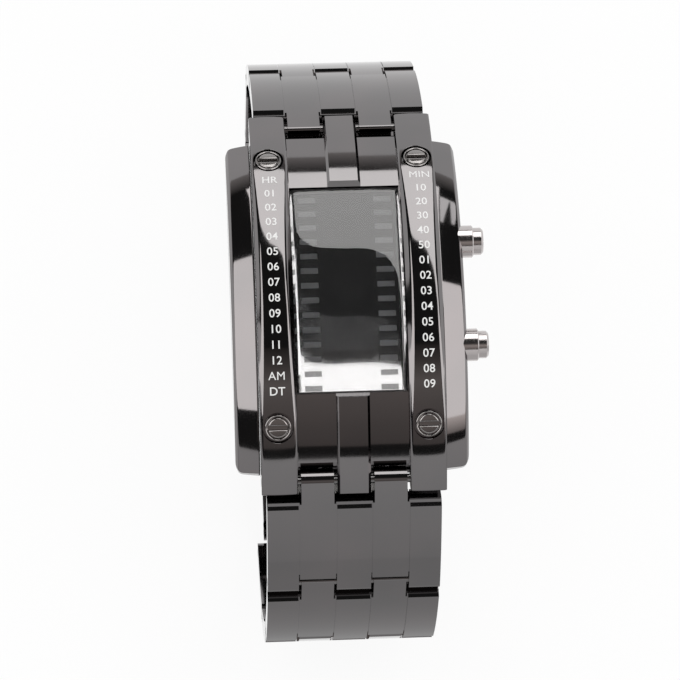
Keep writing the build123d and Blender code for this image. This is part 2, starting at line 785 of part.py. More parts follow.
def trailing_sketch(near_stop, bevel_length):
    """A block held by the far pin: bevelled at the near end, round about the far pin inside."""
    far_end = link_pitch + block_end_reach
    bevel_x = near_stop + bevel_length
    round_x = far_end - block_end_round
    round_y = link_arc(case_radius, far_end) - block_end_round
    round_mid = (round_x + block_end_round * sin(radians(45)), round_y + block_end_round * cos(radians(45)))
    root = (link_pitch - knuckle * sin(link_half_angle), -knuckle * cos(link_half_angle))
    end_turn = acos(block_end_reach / knuckle)
    turn = (end_turn + radians(90) + link_half_angle) / 2
    knuckle_end = (far_end, -knuckle * sin(end_turn))
    knuckle_mid = (link_pitch + knuckle * cos(turn), -knuckle * sin(turn))
    mid_x = (near_stop + far_end) / 2
    with BuildLine() as outline:
        Line((near_stop, link_arc(inner_radius, near_stop)),
             (near_stop, link_arc(case_radius, near_stop) - block_bevel_depth))
        Line((near_stop, link_arc(case_radius, near_stop) - block_bevel_depth),
             (bevel_x, link_arc(case_radius, bevel_x)))
        ThreePointArc((bevel_x, link_arc(case_radius, bevel_x)), (mid_x, link_arc(case_radius, mid_x)),
                      (round_x, link_arc(case_radius, round_x)))
        ThreePointArc((round_x, link_arc(case_radius, round_x)), round_mid, (far_end, round_y))
        Line((far_end, round_y), knuckle_end)
        ThreePointArc(knuckle_end, knuckle_mid, root)
        ThreePointArc(root, (mid_x, link_arc(inner_radius, mid_x)),
                      (near_stop, link_arc(inner_radius, near_stop)))
    make_face(outline.edges())


def core_sketch(near_stop):
    """The web that joins the five columns, under their outer faces."""
    outer = case_radius - core_inset
    inner = inner_radius + core_inset
    mid_x = (near_stop + far_stop) / 2
    with BuildLine() as outline:
        ThreePointArc((near_stop, link_arc(outer, near_stop)), (mid_x, link_arc(outer, mid_x)),
                      (far_stop, link_arc(outer, far_stop)))
        Line((far_stop, link_arc(outer, far_stop)), (far_stop, link_arc(inner, far_stop)))
        ThreePointArc((far_stop, link_arc(inner, far_stop)), (mid_x, link_arc(inner, mid_x)),
                      (near_stop, link_arc(inner, near_stop)))
        Line((near_stop, link_arc(inner, near_stop)), (near_stop, link_arc(outer, near_stop)))
    make_face(outline.edges())


def add_column(plane, low_x, high_x, sketch, *sizes):
    """Extrude one column's side outline across the band."""
    with BuildSketch(plane.offset(low_x)) as section:
        sketch(*sizes)
    extrude(section.sketch, amount=high_x - low_x)


def make_link(side, count, name):
    """One link: two columns lead to the near pin, and three trail to the far one."""
    plane = link_plane(side, count)
    centre_x = centre_column / 2
    inner_x = centre_x + inner_column
    half_groove = column_groove / 2
    tongue_inset = (inner_column - tongue_width) / 2
    near_stop = near_stop_of(side, count)
    bevel_length = lug_bevel_length if count == 0 else block_bevel_length
    joins_cover = side > 0 and count == links_per_side - 1
    with BuildPart() as link_part:
        add_column(plane, half_groove - band_width / 2, band_width / 2 - half_groove, core_sketch, near_stop)
        add_column(plane, half_groove - centre_x, centre_x - half_groove, trailing_sketch, near_stop,
                   bevel_length)
        for across in (1, -1):
            low, high = sorted((across * (inner_x + half_groove), across * band_width / 2))
            add_column(plane, low, high, trailing_sketch, near_stop, bevel_length)
            low, high = sorted((across * (centre_x + half_groove), across * (inner_x - half_groove)))
            add_column(plane, low, high, leading_sketch, *tongue_end_of(side, count))
        cut_tongue_sides(plane, near_stop, centre_x, inner_x, half_groove, tongue_inset)
        if joins_cover:
            shape_clasp_end(plane, inner_x)
        far_pin = plane.location * Location((link_pitch, 0, 0))
        for place, clearance in ((plane.location, pin_clearance), (far_pin, fit_clearance)):
            with Locations(place):
                Cylinder(pin_diameter / 2 + clearance, band_width + cut_over, mode=Mode.SUBTRACT)
    save(link_part.part, name)


def cut_tongue_sides(plane, near_stop, centre_x, inner_x, half_groove, tongue_inset):
    """Narrow the two tongues where they stand between the next link's columns."""
    reach = link_thickness + cut_over
    for across in (1, -1):
        for edge_x, inward in ((centre_x + half_groove, 1), (inner_x - half_groove, -1)):
            low, high = sorted((across * (edge_x - inward * half_groove),
                                across * (edge_x + inward * (tongue_inset - half_groove))))
            with BuildSketch(plane.offset(low)) as section:
                with Locations(((near_stop - reach) / 2, 0)):
                    Rectangle(near_stop + reach, 2 * reach)
            extrude(section.sketch, amount=high - low, mode=Mode.SUBTRACT)


def shape_clasp_end(plane, inner_x):
    """Turn the link's far end into one wide tongue that the clasp's cover takes between its walls."""
    reach = link_thickness + cut_over
    for across in (1, -1):
        low, high = sorted((across * inner_x, across * (band_width / 2 + cut_over)))
        with BuildSketch(plane.offset(low)) as section:
            with Locations((far_stop + reach / 2, 0)):
                Rectangle(reach, 2 * reach)
        extrude(section.sketch, amount=high - low, mode=Mode.SUBTRACT)
    add_column(plane, -inner_x, inner_x, clasp_tongue_sketch)


def clasp_tongue_sketch():
    """The round end of the wide tongue, about the far pin."""
    root = far_stop - knuckle
    across = (link_pitch + knuckle * sin(link_half_angle), knuckle * cos(link_half_angle))
    root_across = (link_pitch - knuckle * sin(link_half_angle), -knuckle * cos(link_half_angle))
    mid_x = (root + link_pitch) / 2
    with BuildLine() as outline:
        ThreePointArc((root, link_arc(case_radius, root)), (mid_x, link_arc(case_radius, mid_x)), across)
        ThreePointArc(across, (link_pitch + knuckle * cos(link_half_angle), -knuckle * sin(link_half_angle)),
                      root_across)
        ThreePointArc(root_across, (mid_x, link_arc(inner_radius, mid_x)),
                      (root, link_arc(inner_radius, root)))
        Line((root, link_arc(inner_radius, root)), (root, link_arc(case_radius, root)))
    make_face(outline.edges())


def make_pin(place, half_length, radius, name):
    """A straight pin across the watch at this Y and Z."""
    with BuildPart() as pin:
        with Locations(Location((0, place[0], place[1]), (0, 90, 0))):
            Cylinder(radius, 2 * half_length)
    save(pin.part, name)


# Places of the clasp
wall_inner_x = clasp_width / 2 - clasp_wall
middle_blade_z = clasp_floor + blade_clearance
inner_blade_z = middle_blade_z + blade_thickness + blade_clearance + 2 * fit_clearance
cover_hinge_y = blade_pin_y + knuckle + cover_hinge_space + cover_hinge_radius
cover_hinge_z = cover_hinge_radius
blade_hinge_z = middle_blade_z + blade_hinge_radius
floor_end_y = cover_pin_y - knuckle - floor_end_space


def add_round_ends(centre, radius, low_x, high_x, mode=Mode.ADD):
    """A knuckle across X about this Y and Z."""
    with BuildSketch(side_plane(low_x)) as section:
        with Locations(centre):
            Circle(radius)
    extrude(section.sketch, amount=high_x - low_x, mode=mode)


def make_clasp_cover():
    """The cover: a floor with two side walls, ears for the bracelet bar and hinge knuckles."""
    hinge = (cover_hinge_y, cover_hinge_z)
    half_width = clasp_width / 2
    knuckle_x = centre_knuckle_width / 2 + hinge_gap
    with BuildPart() as cover:
        add_box((-half_width, cover_hinge_y, 0), (half_width, floor_end_y, clasp_wall_height))
        add_box((-wall_inner_x, cover_hinge_y, clasp_floor), (wall_inner_x, floor_end_y, clasp_wall_height),
                mode=Mode.SUBTRACT)
        rims = cover.edges().filter_by(Axis.Y).group_by(Axis.Z)[0]
        fillet(rims, clasp_edge_round)
        for side in (1, -1):
            low, high = sorted((side * wall_inner_x, side * half_width))
            add_round_ends((cover_pin_y, cover_pin_z), knuckle, low, high)
            with BuildSketch(side_plane(low)):
                with BuildLine():
                    Polyline((floor_end_y - knuckle, clasp_floor), (floor_end_y, clasp_edge_round),
                             (cover_pin_y, cover_pin_z - knuckle), (cover_pin_y, cover_pin_z + knuckle),
                             (floor_end_y, clasp_wall_height), (floor_end_y - knuckle, clasp_wall_height),
                             (floor_end_y - knuckle, clasp_floor))
                make_face()
            extrude(amount=high - low)
        add_box((-half_width - cut_over, cover_hinge_y - cut_over, cover_hinge_z),
                (half_width + cut_over, cover_hinge_y + cover_hinge_radius, case_thickness),
                mode=Mode.SUBTRACT)
        add_round_ends(hinge, cover_hinge_radius, -half_width, half_width)
        add_round_ends(hinge, cover_hinge_radius + hinge_gap, -knuckle_x, knuckle_x, mode=Mode.SUBTRACT)
        add_box((-knuckle_x, cover_hinge_y - cut_over, -cut_over), (knuckle_x, cover_hinge_y, cut_over),
                mode=Mode.SUBTRACT)
        add_round_ends(hinge, hinge_pin_diameter / 2 + fit_clearance, -half_width - cut_over,
                       half_width + cut_over, mode=Mode.SUBTRACT)
        add_round_ends((cover_pin_y, cover_pin_z), pin_diameter / 2 + pin_clearance,
                       -half_width - cut_over, half_width + cut_over, mode=Mode.SUBTRACT)
    save(cover.part, "clasp_cover")


def make_middle_blade():
    """The blade between the cover's hinge and the inner blade's hinge."""
    half_width = blade_width / 2
    hinge = (cover_hinge_y, cover_hinge_z)
    far_hinge = (blade_hinge_y, blade_hinge_z)
    inner_x = centre_knuckle_width / 2
    with BuildPart() as blade:
        add_box((-half_width, cover_hinge_y, middle_blade_z),
                (half_width, blade_hinge_y, middle_blade_z + blade_thickness))
        add_round_ends(far_hinge, blade_hinge_radius, -half_width, half_width)
        add_round_ends(far_hinge, blade_hinge_radius + hinge_gap, -inner_x - hinge_gap, inner_x + hinge_gap,
                       mode=Mode.SUBTRACT)
        for side in (1, -1):
            low, high = sorted((side * (inner_x - hinge_gap / 2), side * (half_width + cut_over)))
            add_box((low, cover_hinge_y - cut_over, -cut_over),
                    (high, cover_hinge_y + cover_hinge_radius + hinge_gap, clasp_wall_height),
                    mode=Mode.SUBTRACT)
        add_round_ends(hinge, cover_hinge_radius, -inner_x, inner_x)
        for place in (hinge, far_hinge):
            add_round_ends(place, hinge_pin_diameter / 2 + pin_clearance, -half_width, half_width,
                           mode=Mode.SUBTRACT)
    save(blade.part, "clasp_middle_blade")


def make_inner_blade():
    """The blade that the lower bracelet half ends in."""
    half_width = blade_width / 2
    far_hinge = (blade_hinge_y, blade_hinge_z)
    end_pin = (blade_pin_y, clasp_pin_height)
    inner_x = centre_knuckle_width / 2
    centre_x = centre_column / 2 + (inner_column - tongue_width) / 2
    with BuildPart() as blade:
        add_box((-half_width, blade_pin_y, inner_blade_z),
                (half_width, blade_hinge_y, inner_blade_z + blade_thickness))
        add_round_ends(end_pin, knuckle, -half_width, half_width)
        stop = knuckle + link_gap
        add_round_ends(end_pin, stop, -centre_x, centre_x, mode=Mode.SUBTRACT)
        for side in (1, -1):
            low, high = sorted((side * (inner_x + hinge_gap / 2), side * (half_width + cut_over)))
            add_round_ends(far_hinge, blade_hinge_radius + hinge_gap, low, high, mode=Mode.SUBTRACT)
        add_round_ends(far_hinge, blade_hinge_radius, -inner_x + hinge_gap / 2, inner_x - hinge_gap / 2)
        add_round_ends(far_hinge, hinge_pin_diameter / 2 + fit_clearance, -half_width, half_width,
                       mode=Mode.SUBTRACT)
        add_round_ends(end_pin, pin_diameter / 2 + pin_clearance, -half_width, half_width, mode=Mode.SUBTRACT)
    save(blade.part, "clasp_inner_blade")


def make_bracelet():
    """Both bracelet halves with their pins."""
    for side, half in ((1, "upper"), (-1, "lower")):
        pins = chain_pins(side)
        make_pin(pins[0], rail_outer_x - pin_end_inset, pin_diameter / 2, half + "_lug_pin")
        for count in range(links_per_side):
            number = str(count + 1)
            make_link(side, count, half + "_link_" + number)
            if side > 0 and count == links_per_side - 1:
                bar_end = wall_inner_x - case_clearance
            else:
                bar_end = band_width / 2 - pin_end_inset
            make_pin(pins[count + 1], bar_end, pin_diameter / 2, half + "_link_pin_" + number)


def make_clasp():
    """The fold-over clasp with both hinge pins."""
    make_clasp_cover()
    make_middle_blade()
    make_inner_blade()
    make_pin((cover_hinge_y, cover_hinge_z), clasp_width / 2 - pin_end_inset, hinge_pin_diameter / 2,
             "clasp_cover_pin")
    make_pin((blade_hinge_y, blade_hinge_z), blade_width / 2 - pin_end_inset, hinge_pin_diameter / 2,
             "clasp_blade_pin")


os.makedirs("parts", exist_ok=True)
make_case_body()
make_rail(-1, "left_rail")
make_rail(1, "right_rail")
make_rail_screws()
make_side_plate(-1, "left_side_plate")
make_side_plate(1, "right_side_plate")
make_crystal()
make_window_parts()
make_led_board()
make_module()
make_button(button_y, "upper_button")
make_button(-button_y, "lower_button")
make_button_seals()
make_case_back()
make_bracelet()
make_clasp()
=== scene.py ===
import json
from math import asin, atan2, cos, exp, log, pi, radians, sin, sqrt

import bpy
import bmesh
from mathutils import Matrix, Vector


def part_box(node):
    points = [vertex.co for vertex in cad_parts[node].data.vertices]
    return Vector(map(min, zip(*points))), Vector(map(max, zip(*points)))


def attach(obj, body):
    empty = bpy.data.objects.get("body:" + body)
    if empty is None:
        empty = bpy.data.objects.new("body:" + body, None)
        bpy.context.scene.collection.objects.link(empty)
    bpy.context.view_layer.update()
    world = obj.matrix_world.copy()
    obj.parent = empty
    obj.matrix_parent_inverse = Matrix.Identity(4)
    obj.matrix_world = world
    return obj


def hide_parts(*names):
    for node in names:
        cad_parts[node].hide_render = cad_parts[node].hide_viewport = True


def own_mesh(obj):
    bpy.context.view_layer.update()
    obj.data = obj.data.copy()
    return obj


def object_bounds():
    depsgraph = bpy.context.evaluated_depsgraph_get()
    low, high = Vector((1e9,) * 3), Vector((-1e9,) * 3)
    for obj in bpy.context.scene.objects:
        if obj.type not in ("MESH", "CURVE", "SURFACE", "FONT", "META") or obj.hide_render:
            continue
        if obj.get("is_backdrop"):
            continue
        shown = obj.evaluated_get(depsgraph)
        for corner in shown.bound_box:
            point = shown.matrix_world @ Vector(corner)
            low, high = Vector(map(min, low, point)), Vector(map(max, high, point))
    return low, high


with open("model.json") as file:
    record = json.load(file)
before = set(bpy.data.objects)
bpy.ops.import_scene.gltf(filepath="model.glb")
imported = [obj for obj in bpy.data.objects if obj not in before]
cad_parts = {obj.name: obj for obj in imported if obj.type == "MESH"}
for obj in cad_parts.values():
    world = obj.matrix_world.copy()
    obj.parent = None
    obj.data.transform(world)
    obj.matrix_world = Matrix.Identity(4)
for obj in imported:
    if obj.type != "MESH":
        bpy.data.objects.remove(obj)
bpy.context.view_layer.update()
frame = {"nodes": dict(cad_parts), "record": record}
nodes = frame["nodes"]
mm = 0.001

apex_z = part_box("left_rail")[1].z


# Materials

def material(name, base, metallic=0.0, roughness=0.4, **sockets):
    """A Principled material, with its bump and roughness nodes still to come."""
    made = bpy.data.materials.new(name)
    made.use_nodes = True
    shader = made.node_tree.nodes["Principled BSDF"]
    shader.inputs["Base Color"].default_value = (*base, 1)
    shader.inputs["Metallic"].default_value = metallic
    shader.inputs["Roughness"].default_value = roughness
    for key, value in sockets.items():
        shader.inputs[key.replace("_", " ")].default_value = value
    return made, made.node_tree, shader


def link(tree, a, out, b, into):
    tree.links.new(a.outputs[out], b.inputs[into])


def node(tree, kind, **values):
    made = tree.nodes.new(kind)
    for key, value in values.items():
        setattr(made, key, value)
    return made


def noise(tree, scale, detail=3.0, stretch=(1, 1, 1), rough=0.5):
    """Noise in the object's own coordinates, in metres."""
    place = node(tree, "ShaderNodeTexCoord")
    mapping = node(tree, "ShaderNodeMapping")
    mapping.inputs["Scale"].default_value = stretch
    texture = node(tree, "ShaderNodeTexNoise")
    texture.inputs["Scale"].default_value = scale
    texture.inputs["Detail"].default_value = detail
    texture.inputs["Roughness"].default_value = rough
    link(tree, place, "Object", mapping, "Vector")
    link(tree, mapping, "Vector", texture, "Vector")
    return texture


def to_range(tree, source, out, low, high):
    ranged = node(tree, "ShaderNodeMapRange")
    ranged.inputs["To Min"].default_value = low
    ranged.inputs["To Max"].default_value = high
    link(tree, source, out, ranged, "Value")
    return ranged


def add_bump(tree, shader, texture, out, distance, strength=1.0):
    bump = node(tree, "ShaderNodeBump")
    bump.inputs["Distance"].default_value = distance
    bump.inputs["Strength"].default_value = strength
    link(tree, texture, out, bump, "Height")
    link(tree, bump, "Normal", shader, "Normal")
    return bump


def polished(name, base, low, high, scale=220.0, stretch=(1, 1, 1)):
    """Metal with haze in its gloss, or brushing where it is stretched, and a tint that wanders."""
    made, tree, shader = material(name, base, metallic=1.0, roughness=low)
    haze = noise(tree, scale, 4.0, stretch)
    gloss = to_range(tree, haze, "Fac", low, high)
    link(tree, gloss, "Result", shader, "Roughness")
    tint = noise(tree, 90.0, 2.0)
    ramp = node(tree, "ShaderNodeValToRGB")
    ramp.color_ramp.elements[0].position = 0.35
    ramp.color_ramp.elements[0].color = (*[c * 0.96 for c in base], 1)
    ramp.color_ramp.elements[1].position = 0.7
    ramp.color_ramp.elements[1].color = (base[0] * 1.05, base[1] * 1.02, base[2] * 1.02, 1)
    link(tree, tint, "Fac", ramp, "Fac")
    link(tree, ramp, "Color", shader, "Base Color")
    return made


def grained(name, base, metallic, roughness, grain, depth):
    """A material with a fine grain in its bump, the depth in metres."""
    made, tree, shader = material(name, base, metallic, roughness)
    add_bump(tree, shader, noise(tree, grain), "Fac", depth)
    return made


gunmetal = polished("gunmetal", (0.195, 0.188, 0.19), 0.03, 0.09)
bright = polished("bright_steel", (0.53, 0.505, 0.5), 0.08, 0.18)
satin = polished("satin_steel", (0.31, 0.31, 0.305), 0.2, 0.36, 3500.0, (1, 0.03, 1))
dark_pin = polished("dark_pin", (0.2, 0.195, 0.195), 0.12, 0.25)
screw_steel = polished("screw_steel", (0.3, 0.29, 0.285), 0.06, 0.14)
brass = grained("brass", (0.75, 0.58, 0.28), 1.0, 0.25, 900.0, 1e-5)
diffuser = grained("diffuser", (0.13, 0.135, 0.14), 0.0, 0.35, 3000.0, 5e-6)
white_plastic = grained("white_plastic", (0.75, 0.75, 0.73), 0.0, 0.45, 2000.0, 5e-6)
board = grained("board", (0.03, 0.12, 0.06), 0.0, 0.35, 1500.0, 5e-6)
black_plastic = grained("black_plastic", (0.03, 0.03, 0.03), 0.0, 0.4, 2500.0, 6e-6)
mark_paint = grained("mark_paint", (0.8, 0.8, 0.79), 0.0, 0.35, 4000.0, 2e-6)
rubber = grained("rubber", (0.025, 0.025, 0.025), 0.0, 0.7, 2500.0, 1e-5)

# The crystal's coat strengthens its reflection, and its bump is barely a ripple
glass, tree, shader = material("mineral_glass", (1, 1, 1), 0.0, 0.0, IOR=1.5,
                               Transmission_Weight=1.0, Coat_Weight=1.0, Coat_Roughness=0.0,
                               Coat_IOR=1.52)
add_bump(tree, shader, noise(tree, 60.0, 1.0), "Fac", 5e-7)

# The film behind the crystal is a mirror with wiped haze in its gloss
film, tree, shader = material("mirror_film", (0.38, 0.38, 0.385), 1.0, 0.04)
smear = noise(tree, 420.0, 5.0, (1.0, 0.45, 1.0), 0.65)
link(tree, to_range(tree, smear, "Fac", 0.0, 0.14), "Result", shader, "Roughness")

finishes = {"gunmetal_plating": gunmetal, "bright_steel": bright, "satin_steel": satin,
            "dark_steel": dark_pin, "mineral_glass": glass, "mask_black": film,
            "diffuser_grey": diffuser, "light_box_white": white_plastic,
            "circuit_green": board, "component_black": black_plastic,
            "led_white": white_plastic, "seal_rubber": rubber, "contact_brass": brass}
slot_of = {piece["node"]: piece["material_slot"] for piece in frame["record"]["subparts"]}
for name, piece in nodes.items():
    piece.data.materials.clear()
    piece.data.materials.append(finishes[slot_of[name]])

# Visual model: sizes in millimetres
case_arc = 44.0
rail_outer, rail_inner = 12.7, 7.75
lug_half, knuckle = 27.5, 1.5
pin_bore_radius = 0.62
end_round = 0.35
edge_blend = 0.06
pin_arc = case_arc - knuckle
inner_arc = case_arc - 2 * knuckle
arc_mid = apex_z / mm - case_arc
end_turn = asin(lug_half / case_arc)
pin_turn = end_turn - asin(knuckle / pin_arc)
pin_y, pin_z = pin_arc * sin(pin_turn), arc_mid + pin_arc * cos(pin_turn)


def soft_max(values, sharpness):
    """The largest value, with the corner between two values rounded off."""
    top = max(values)
    return top + sharpness * log(sum(exp((value - top) / sharpness) for value in values))


def make_mesh(name, points, faces):
    mesh = bpy.data.meshes.new(name)
    mesh.from_pydata([[c * mm for c in point] for point in points], [], faces)
    mesh.validate()
    made = bpy.data.objects.new(name, mesh)
    bpy.context.scene.collection.objects.link(made)
    return made


def face_outwards(mesh):
    bm = bmesh.new()
    bm.from_mesh(mesh)
    bmesh.ops.recalc_face_normals(bm, faces=bm.faces)
    bm.to_mesh(mesh)
    bm.free()


def tube_faces(count, rings):
    """The faces of a closed tube of rings, each of so many points, with a cap at both ends."""
    faces = [(i * count + k, i * count + (k + 1) % count, (i + 1) * count + (k + 1) % count,
              (i + 1) * count + k) for i in range(rings - 1) for k in range(count)]
    faces.append(tuple(range(count))[::-1])
    faces.append(tuple(range((rings - 1) * count, rings * count)))
    return faces


def loft_across(name, stations):
    """A solid from side outlines of equal length, each an X and a closed run of Y and Z."""
    points = [(x, y, z) for x, outline in stations for y, z in outline]
    made = make_mesh(name, points, tube_faces(len(stations[0][1]), len(stations)))
    face_outwards(made.data)
    return made


def lathe(profile, place, up, turns=48):
    """Points and faces of a profile of radius and height, turned about an axis at a place."""
    side = up.orthogonal().normalized()
    other = up.cross(side)
    points, faces = [], []
    for k in range(turns):
        turn = 2 * pi * k / turns
        out = side * cos(turn) + other * sin(turn)
        points += [place + out * radius + up * height for radius, height in profile]
    count = len(profile)
    for k in range(turns):
        for i in range(count - 1):
            a, b = k * count + i, (k + 1) % turns * count + i
            faces.append((a, a + 1, b + 1, b))
    faces.append(tuple(k * count for k in range(turns)))
    faces.append(tuple(k * count + count - 1 for k in range(turns))[::-1])
    return points, faces


def joined(parts):
    points, faces = [], []
    for more_points, more_faces in parts:
        faces += [tuple(i + len(points) for i in face) for face in more_faces]
        points += more_points
    return points, faces


def cut(piece, cutters):
    """Cut closed shapes out of a piece and keep the result as its mesh."""
    tool = make_mesh(piece.name + "_cutter", *joined(cutters))
    face_outwards(tool.data)
    modifier = piece.modifiers.new("cut", "BOOLEAN")
    modifier.operation = "DIFFERENCE"
    modifier.solver = "EXACT"
    modifier.object = tool
    graph = bpy.context.evaluated_depsgraph_get()
    result = bpy.data.meshes.new_from_object(piece.evaluated_get(graph))
    piece.modifiers.clear()
    piece.data = result
    bpy.data.objects.remove(tool)


def shade(piece, normal_of=None, limit=30.0):
    """Smooth shading by angle, with exact normals where normal_of knows the surface."""
    agreement = 0.85
    mesh = piece.data
    for face in mesh.polygons:
        face.use_smooth = True
    mesh.set_sharp_from_angle(angle=radians(limit))
    if normal_of is None:
        return
    normals = [corner.vector.copy() for corner in mesh.corner_normals]
    for face in mesh.polygons:
        known = normal_of(face.center / mm)
        if known is None or known.dot(face.normal) < agreement:
            continue
        for loop in face.loop_indices:
            exact = normal_of(mesh.vertices[mesh.loops[loop].vertex_index].co / mm)
            if exact is not None:
                normals[loop] = exact
    mesh.normals_split_custom_set(normals)


def finish_piece(piece, body, finish, slot, *stands_for):
    piece.data.materials.clear()
    piece.data.materials.append(finish)
    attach(piece, body)
    if stands_for:
        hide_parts(*stands_for)
    return piece


def arc_surface(radius, drop, end_turn=None):
    """The exact normal of an arc surface whose height falls off across X, and at its ends."""
    near, step = 0.02, 0.005

    def normal_of(point):
        x, y, z = point
        turn = atan2(y, z - arc_mid)
        side = 1 if y > 0 else -1
        fall = 0.0
        lean = 0.0
        if end_turn is not None:
            left = (end_turn - abs(turn)) * radius
            if left < end_round:
                lean = min(1.0, (end_round - left) / end_round)
                fall = end_round * (1 - sqrt(1 - lean * lean))
        if abs(sqrt(y * y + (z - arc_mid)**2) - (radius - drop(x, turn) - fall)) > near:
            return None
        slope = (drop(x + step, turn) - drop(x - step, turn)) / (2 * step)
        swing = (drop(x, turn + step / radius) - drop(x, turn - step / radius)) / (2 * step)
        radial = Vector((slope, sin(turn) + swing * cos(turn),
                         cos(turn) - swing * sin(turn))).normalized()
        tangent = Vector((0, cos(turn), -sin(turn))) * side
        return (radial * sqrt(1 - lean * lean) + tangent * lean).normalized()
    return normal_of


def rail_drop(side):
    """How far a rail's face lies under the case's arc; its chamfers fade towards the screws."""
    chamfer_reach = 19
    crown_middle, crown_width = 2.4, 50

    def drop(x, turn):
        from_outside = rail_outer - side * x
        from_inside = side * x - rail_inner
        full = max(0, 1 - (turn * case_arc / chamfer_reach)**2)
        crown = (from_outside - crown_middle)**2 / crown_width
        return soft_max((crown, 0.22 + 0.5 * full - from_outside,
                         0.25 + 0.6 * full - from_inside), edge_blend)
    return drop


def rounded_arc(stop, arc, rounding, end_steps, steps):
    """Turns along an arc whose two ends are rounded, each with its fall under the arc."""
    leans = [sin(pi / 2 * (1 - k / end_steps)) for k in range(end_steps)]
    end = [(stop - rounding * (1 - lean) / arc, rounding * (1 - sqrt(1 - lean * lean)))
           for lean in leans]
    full_stop = stop - rounding / arc
    middle = [(full_stop - 2 * full_stop * k / steps, 0) for k in range(steps + 1)]
    return end + middle + [(-turn, fall) for turn, fall in end[::-1]]


def rail_outline(x, drop):
    """A rail's side outline at an X: the outer arc, the rounded lug ends and the inner arc."""
    inner_steps = 60
    run = []
    for turn, fall in rounded_arc(end_turn, case_arc, end_round, 6, 150):
        radius = case_arc - drop(x, turn) - fall
        run.append((radius * sin(turn), arc_mid + radius * cos(turn)))
    lug = [(pin_y + knuckle * sin(pin_turn + radians(a)),
            pin_z + knuckle * cos(pin_turn + radians(a))) for a in range(96, 181, 7)]
    inner_turns = [pin_turn * (1 - 2 * k / inner_steps) for k in range(1, inner_steps)]
    inner = [(inner_arc * sin(turn), arc_mid + inner_arc * cos(turn)) for turn in inner_turns]
    return run + [(-y, z) for y, z in lug] + [(-y, z) for y, z in inner] + lug[::-1]


screw_turn = 19.9 / case_arc
screw_x = 10.3


def screw_place(across, end):
    up = Vector((0, end * sin(screw_turn), cos(screw_turn)))
    return Vector((across * screw_x, 0, arc_mid)) + up * case_arc, up


def make_rail(side, name):
    drop = rail_drop(side)
    width = rail_outer - rail_inner
    offsets = [0.06 * k for k in range(15)]
    offsets += [0.92, 1.05, 1.3, 1.7, 2.1, 2.5, 2.9, 3.3, 3.6, 3.8, 3.9]
    offsets += [3.98 + 0.08 * k for k in range(12)] + [width]
    stations = [(side * (rail_outer - offset), rail_outline(side * (rail_outer - offset), drop))
                for offset in offsets]
    rail = loft_across("visual_" + name, stations)
    recess = [(2.1, -1.2), (2.1, -0.13), (2.13, -0.07), (2.19, -0.02), (2.3, 0.04), (2.3, 0.8)]
    cutters = []
    for end in (1, -1):
        cutters.append(lathe(recess, *screw_place(side, end)))
        cutters.append(lathe([(pin_bore_radius, -20), (pin_bore_radius, 20)],
                             Vector((0, end * pin_y, pin_z)), Vector((1, 0, 0)), 32))
    cut(rail, cutters)
    shade(rail, arc_surface(case_arc, drop, end_turn))
    return finish_piece(rail, "case", gunmetal, "gunmetal_plating", name)


def half_land(radius, gap, inset, steps=20):
    """The outline of one D-shaped land, on the side where the second axis is positive."""
    reach = radius - inset
    low = gap / 2 + inset
    start = asin(low / reach)
    turns = [start + (pi - 2 * start) * k / steps for k in range(steps + 1)]
    return [(reach * cos(turn), reach * sin(turn)) for turn in turns]


def make_screws():
    """Four screw heads: a dished disc in a raised ring, and two D-shaped lands beside the slot."""
    parts = []
    land_radius, slot_width = 1.38, 0.56
    ring = [(1.46, -0.42), (1.5, -0.41), (1.54, -0.36), (1.56, -0.2), (1.58, -0.13), (1.63, -0.09),
            (1.7, -0.08), (1.76, -0.1), (1.8, -0.16), (1.81, -0.25), (1.81, -1.18)]
    land = [(0.0, -0.5), (0.0, -0.2), (0.02, -0.13), (0.06, -0.08), (0.12, -0.05), (0.2, -0.04)]
    for across in (1, -1):
        for end in (1, -1):
            place, up = screw_place(across, end)
            parts.append(lathe([(0.01, -0.42)] + ring + [(0.01, -1.18)], place, up, 64))
            along = Vector((1, 0, 0))
            other = up.cross(along)
            for half in (1, -1):
                outlines = [half_land(land_radius, slot_width, inset) for inset, height in land]
                points = [place + along * x + other * (half * y) + up * height
                          for (inset, height), run in zip(land, outlines) for x, y in run]
                parts.append((points, tube_faces(len(outlines[0]), len(land))))
    screws = make_mesh("visual_rail_screws", *joined(parts))
    face_outwards(screws.data)
    shade(screws, limit=40.0)
    return finish_piece(screws, "case", screw_steel, slot_of["rail_screws"], "rail_screws")


case_thickness = 13.6
plate_arc, plate_half = case_arc - 3.6, 23.9
plate_inner, plate_outer = rail_outer + 0.05, rail_outer + 3.4
plate_floor = apex_z / mm - case_thickness + 0.6
plate_corner, plate_end_round, plate_floor_chamfer = 1.0, 0.25, 0.2
button_bore, button_y, button_depth = 2.27, 7.45, 7.2


def plate_drop(side):
    """The fall of a side plate's face: a slope outwards, a rounded edge, and a small one inside."""
    def drop(x, turn):
        v = side * x - plate_inner
        slope = 0.15 * v + 0.02 * v * v
        return soft_max((slope, 0.58 + 1.6 * (v - 2.95), 0.14 - 1.3 * v), 0.05)
    return drop


